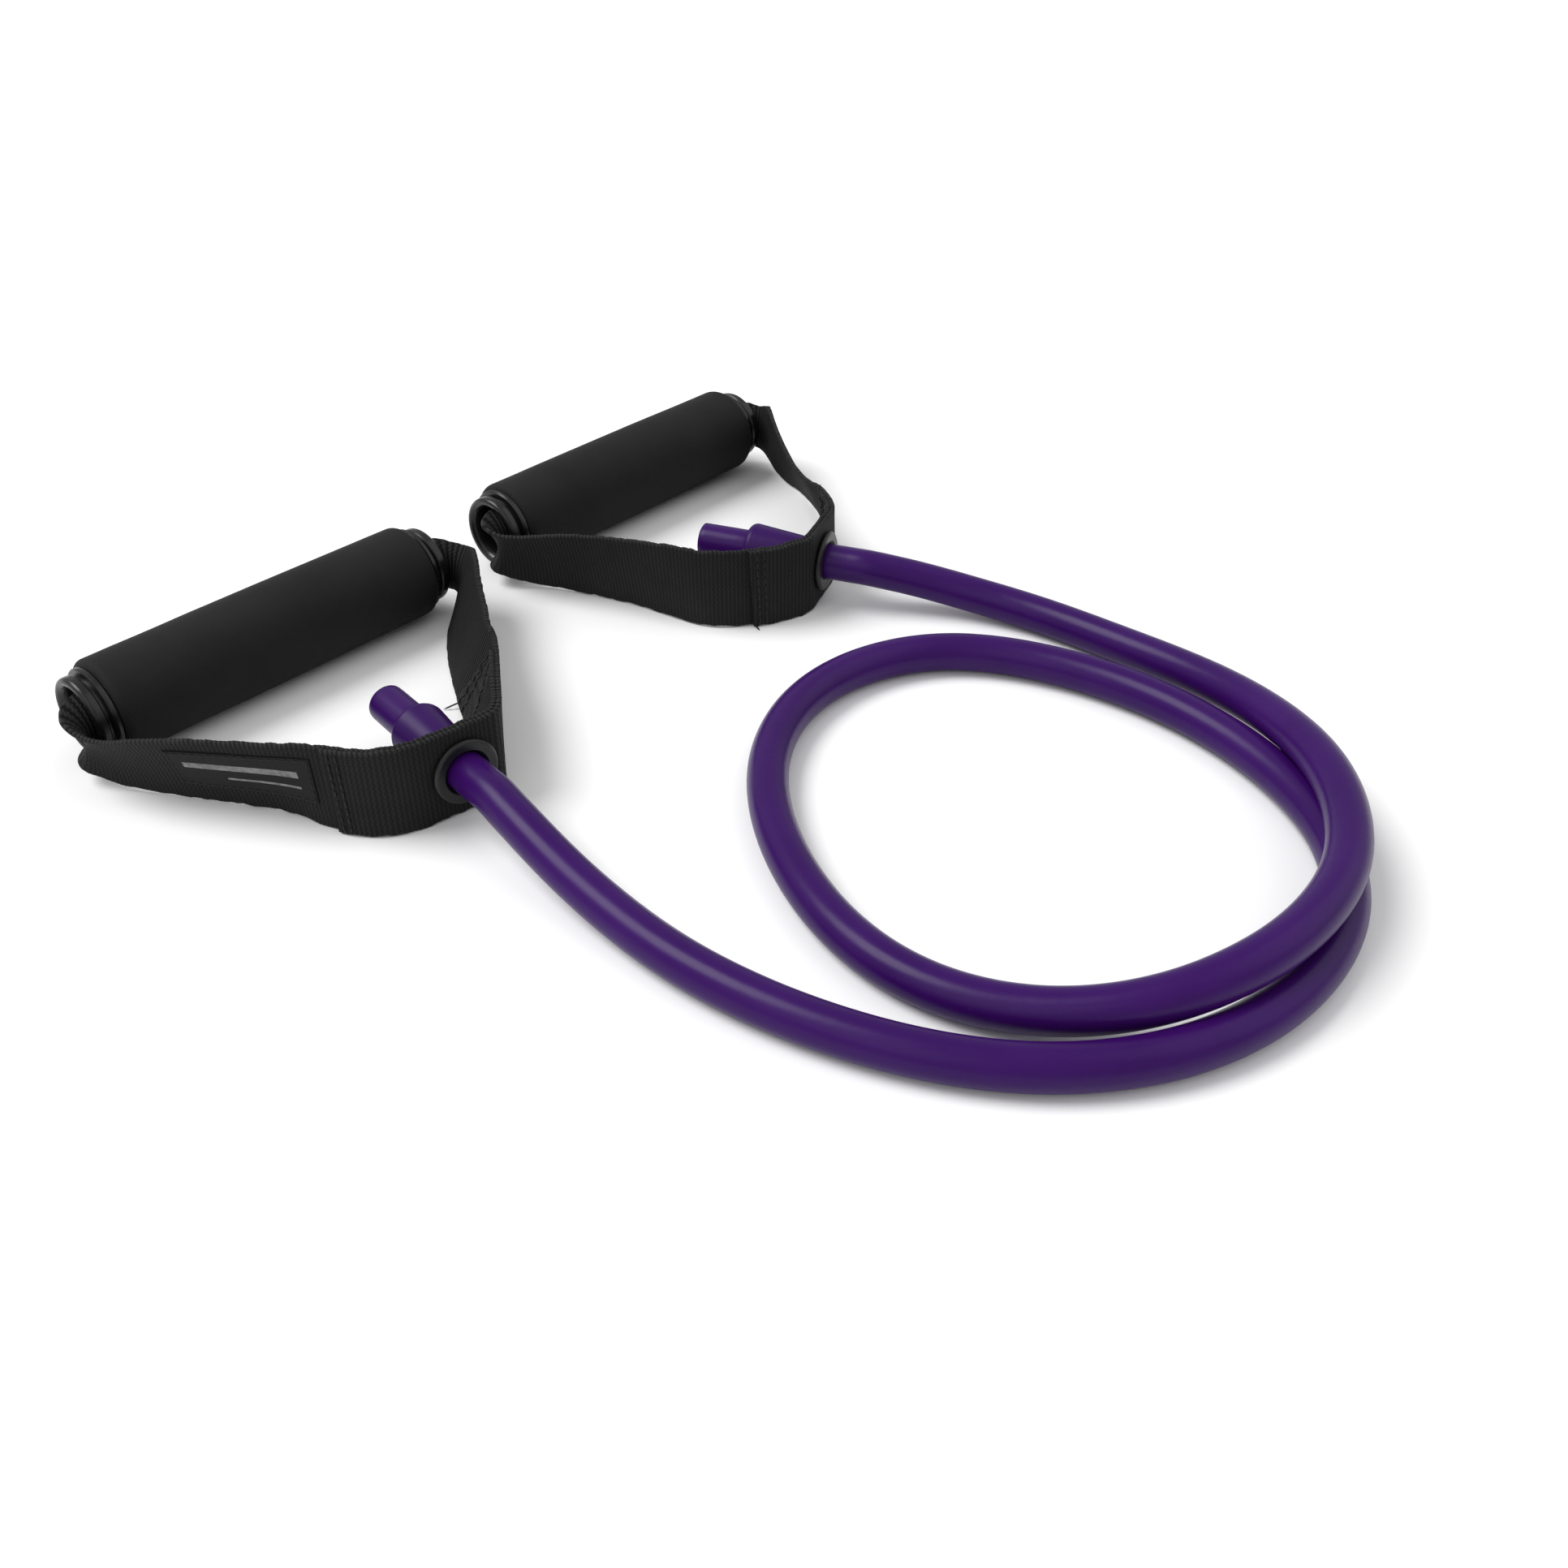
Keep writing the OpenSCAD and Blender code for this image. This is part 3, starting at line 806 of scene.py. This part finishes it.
def thread_mesh(lines, radius):
    """One mesh of thin round threads that taper at both ends."""
    sides = 8
    verts, faces = [], []
    for pts in lines:
        pts = np.asarray(pts, float)
        t = unit(np.gradient(pts, axis=0))
        ref = np.array([0.31, 0.17, 0.93])
        side = unit(np.cross(t, ref))
        up = np.cross(side, t)
        n = len(pts)
        taper = np.sqrt(np.clip(1 - np.linspace(-1, 1, n) ** 8, 0.12, 1))
        base = len(verts)
        for i in range(n):
            for k in range(sides):
                a = 2 * math.pi * k / sides
                verts.append(pts[i] + radius * taper[i]
                             * (math.cos(a) * side[i] + math.sin(a) * up[i]))
        faces += [tuple(base + x for x in f)
                  for f in ring_faces(n, sides, False)]
        faces.append(tuple(base + k for k in range(sides)))
        faces.append(tuple(base + (n - 1) * sides + k for k in range(sides)))
    return np.array(verts), faces


# Loose threads at the strip's cut ends: control span, across, offset, bend
LOOSE = {
    "a": [(22.1, -14.4, -0.6, (-4, 2.5, -1.5)), (6.3, -14.4, 1.6, (1, -3, -2)),
          (22.2, 14.4, -0.4, (2, 1, 1.5))],
    "b": [(5.6, -14.4, 1.6, (-1.5, -3, -2)), (0.66, 14.4, 0, (2.5, 0.5, 1))]}


def make_stitches(h):
    strip = STRIPS[h]
    r = random.Random(5 if h == "a" else 9)
    first, second = laps(h)
    count, pitch = 9, 3.1
    lines = []
    # straight rows near the outer end, zigzag rows near the inner end
    for end, away, rows, off, skew, zigzag in (
            (second[-1], -1, (2.2, 4.6), PATCH_OUT + 0.02, OUTER_SKEW, 0.0),
            (first[0], 1, (2.4, 6.0, 15.0), -WEB_OUT - 0.02,
             INNER_SKEW[h], 0.9)):
        for row in rows:
            for k in range(count):
                w = pitch * (k - (count - 1) / 2)
                fade = max(0.0, 1 - row / SKEW_FADE) ** 2
                i = end + (away * row + skew * fade * w / (WEB_W / 2)) / strip.step
                tilt = zigzag * (1 if k % 2 else -1) + skew * fade * 0.08
                lines.append(bar(strip, i, w + r.uniform(-0.1, 0.1), off,
                                 2.6 + r.uniform(-0.2, 0.2), 0.26,
                                 tilt=tilt + r.uniform(-0.12, 0.12)))
    for span, w, off, bend in LOOSE[h]:
        start = strip.between(strip.index(span), w, off)
        t = np.linspace(0, 1, 9)[:, None]
        pts = start + np.array(bend) * t * t
        pts[:, 2] = np.maximum(pts[:, 2], 0.35)
        lines.append(pts)
    v, f = thread_mesh(lines, 0.27)
    ob = add_piece(f"end_stitches_{h}", v, f, f"strap_set_{h}",
                   MAT["thread"])
    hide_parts(f"stitching_{h}")


for handle in "ab":
    make_stitches(handle)


# ------------------------------------------------------------ label patch
LABEL_W = (-6.2, 10.0)
LABEL_T = 0.45


def label_skin(start, stop, wa, wb, low, high, count):
    """A thin closed sheet on webbing a's outer face, with softened edges."""
    strip = STRIPS["a"]
    ids = np.linspace(start, stop, int((stop - start) / 1.5) + 2)
    cols = np.linspace(wa, wb, count)
    verts, uvs = [], []
    for i in ids:
        for off in (high, low):
            c = cols if off == high else cols[::-1]
            rim = np.minimum(np.abs(c - wa), np.abs(c - wb)) < 1e-6
            o = np.where(rim & (off == high), high - 0.15 * LABEL_T, off)
            verts.append(strip.between(i, c, o))
            uvs.append(np.stack([np.full(len(c), i * strip.step), c], 1))
    m = 2 * count
    faces = ring_faces(len(ids), m, False)
    for base in (0, (len(ids) - 1) * m):
        for j in range(count - 1):
            faces.append((base + j, base + j + 1, base + m - 2 - j,
                          base + m - 1 - j))
    return np.concatenate(verts), faces, np.concatenate(uvs)


def make_label():
    strip = STRIPS["a"]
    first, last = (strip.index(x) for x in LABEL)
    w0, w1 = LABEL_W
    face = WEB_OUT + LABEL_T
    v, f, uv = label_skin(first, last, w0, w1, WEB_OUT - 0.05, face, 16)
    label = add_piece("label_patch", v, f, "strap_set_a",
                      MAT["label"], uv, sharp=40)
    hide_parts("label_patch_a")
    # two plain printed stripes, a generic mark
    span = last - first
    verts, faces, uvs = [], [], []
    for a, b, lo, hi in ((0.1, 0.9, 2.6, 5.0), (0.1, 0.62, -1.6, -0.7)):
        v, f, uv = label_skin(first + a * span, first + b * span, lo, hi,
                              face - 0.02, face + 0.09, 6)
        faces += [tuple(len(verts) + x for x in q) for q in f]
        verts += list(v)
        uvs += list(uv)
    add_piece("label_stripes", verts, faces, "strap_set_a",
              MAT["print"], uvs, sharp=40)
    lines = []
    r = random.Random(3)
    inset, length, radius = 0.8, 1.9, 0.17
    n = int(span * strip.step / 2.6)
    for edge in (w0 + inset, w1 - inset):
        for k in range(n):
            i = first + (k + 0.5) * span / n
            lines.append(bar(strip, i, edge, face, length, radius,
                             along=True, tilt=r.uniform(-0.06, 0.06)))
    ends = 6
    for i in (first + inset / strip.step, last - inset / strip.step):
        for k in range(ends):
            w = w0 + 2 * inset + k * (w1 - w0 - 4 * inset) / (ends - 1)
            lines.append(bar(strip, i, w, face, length, radius,
                             tilt=r.uniform(-0.06, 0.06)))
    v, f = thread_mesh(lines, radius)
    add_piece("label_stitches", v, f, "strap_set_a",
              MAT["thread"])


make_label()


# ------------------------------------------------------------ foam grips
FOAM_FACE_R = 14.0


def foam_profile():
    """Half of the foam's section as (along, radius), from end to end."""
    half, r = GRIP_L / 2, GRIP_D / 2
    edge = 2.4
    end = [(half - edge * (1 - math.sin(t)), r - edge + edge * math.cos(t))
           for t in np.radians(np.arange(0, 91, 10))]
    end += [(half, FOAM_FACE_R), (half, 13.2), (half - 0.1, CORE_D / 2 + 0.05)]
    body = [(x, r) for x in np.linspace(-half + edge + 1.5,
                                        half - edge - 1.5, 76)]
    return [(-x, rad) for x, rad in reversed(end)] + body + end


def make_foam(h):
    profile = foam_profile()
    sides = 128
    waves = 6
    seed = 21 if h == "a" else 22
    dent = [smooth_noise(sides, 20, seed + k) for k in range(waves)]
    verts = []
    for x, rad in profile:
        share = x / GRIP_L + 0.5
        for j in range(sides):
            a = 2 * math.pi * j / sides
            rr = rad
            # only the outside is uneven, and it is a little slimmer all over
            if rad > FOAM_FACE_R - 0.1:
                d = sum(dent[q][j] * math.sin(math.pi * (q + 1) * share + q)
                        for q in range(waves)) / waves
                rr = rad - 0.16 - 0.3 * abs(d) - 0.1 * math.cos(
                    2 * math.pi * share)
                rr = min(rr, GRIP_D / 2 - 0.02)
            verts.append((GRIP[h][0] + x, GRIP[h][1] + rr * math.cos(a),
                          GRIP_Z + rr * math.sin(a)))
    # the last ring joins the first along the core, which closes the mesh
    faces = ring_faces(len(profile), sides, True)
    ob = add_piece(f"foam_sleeve_{h}", verts, faces, f"grip_{h}",
                   MAT["foam"])
    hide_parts(f"foam_grip_{h}")


for handle in "ab":
    make_foam(handle)


# ------------------------------------------------------------ CAD pieces
def paint(node, material, angle=30):
    ob = NODES[node]
    ob.data.materials.clear()
    ob.data.materials.append(material)
    ob.data.polygons.foreach_set("use_smooth", [True] * len(ob.data.polygons))
    ob.data.set_sharp_from_angle(angle=math.radians(angle))


for handle in "ab":
    paint(f"stopper_sleeve_{handle}", MAT["moulding"], 35)
    paint(f"stopper_plug_{handle}", MAT["core"])
    paint(f"eyelet_{handle}", MAT["eyelet"])
    paint(f"eyelet_washer_{handle}", MAT["eyelet"])
    paint(f"core_tube_{handle}", MAT["core"])
    paint(f"outer_end_cap_{handle}", MAT["cap"])
    paint(f"inner_end_cap_{handle}", MAT["cap"])


# ------------------------------------------------------------ studio
def make_studio():
    s = Shade("pale_floor")
    s.link(s.mix(s.noise(3, 3), (0.88, 0.88, 0.88), (0.9, 0.9, 0.9)),
           s.bsdf.inputs["Base Color"])
    s.set(Roughness=0.9, Specular_IOR_Level=0.1)
    mesh = bpy.data.meshes.new("floor")
    size = 6
    mesh.from_pydata([(-size, -size, 0), (size, -size, 0), (size, size, 0),
                      (-size, size, 0)], [], [(0, 1, 2, 3)])
    mesh.materials.append(s.mat)
    floor = bpy.data.objects.new("floor", mesh)
    bpy.context.scene.collection.objects.link(floor)
    world = bpy.data.worlds.new("studio")
    bpy.context.scene.world = world
    world.use_nodes = True
    back = world.node_tree.nodes["Background"]
    back.inputs["Color"].default_value = (1, 1, 1, 1)
    back.inputs["Strength"].default_value = 0.58
    centre = Vector((0, -0.1, 0))
    for name, kind, place, size, power in (
            ("key", "SUN", (-0.55, 0.75, 1.4), 35, 2.3),
            ("fill", "SUN", (0.9, -0.9, 1.2), 60, 0.5),
            ("rim", "AREA", (-1.0, -0.2, 0.9), 0.9, 2)):
        data = bpy.data.lights.new(name, kind)
        if kind == "SUN":
            data.angle = math.radians(size)
        else:
            data.size = size
        data.energy = power
        light = bpy.data.objects.new(name, data)
        light.location = place
        light.rotation_mode = "QUATERNION"
        light.rotation_quaternion = (centre - Vector(place)).to_track_quat(
            "-Z", "Y")
        bpy.context.scene.collection.objects.link(light)
    bpy.context.scene.view_settings.view_transform = "Standard"


make_studio()

bpy.context.view_layer.update()
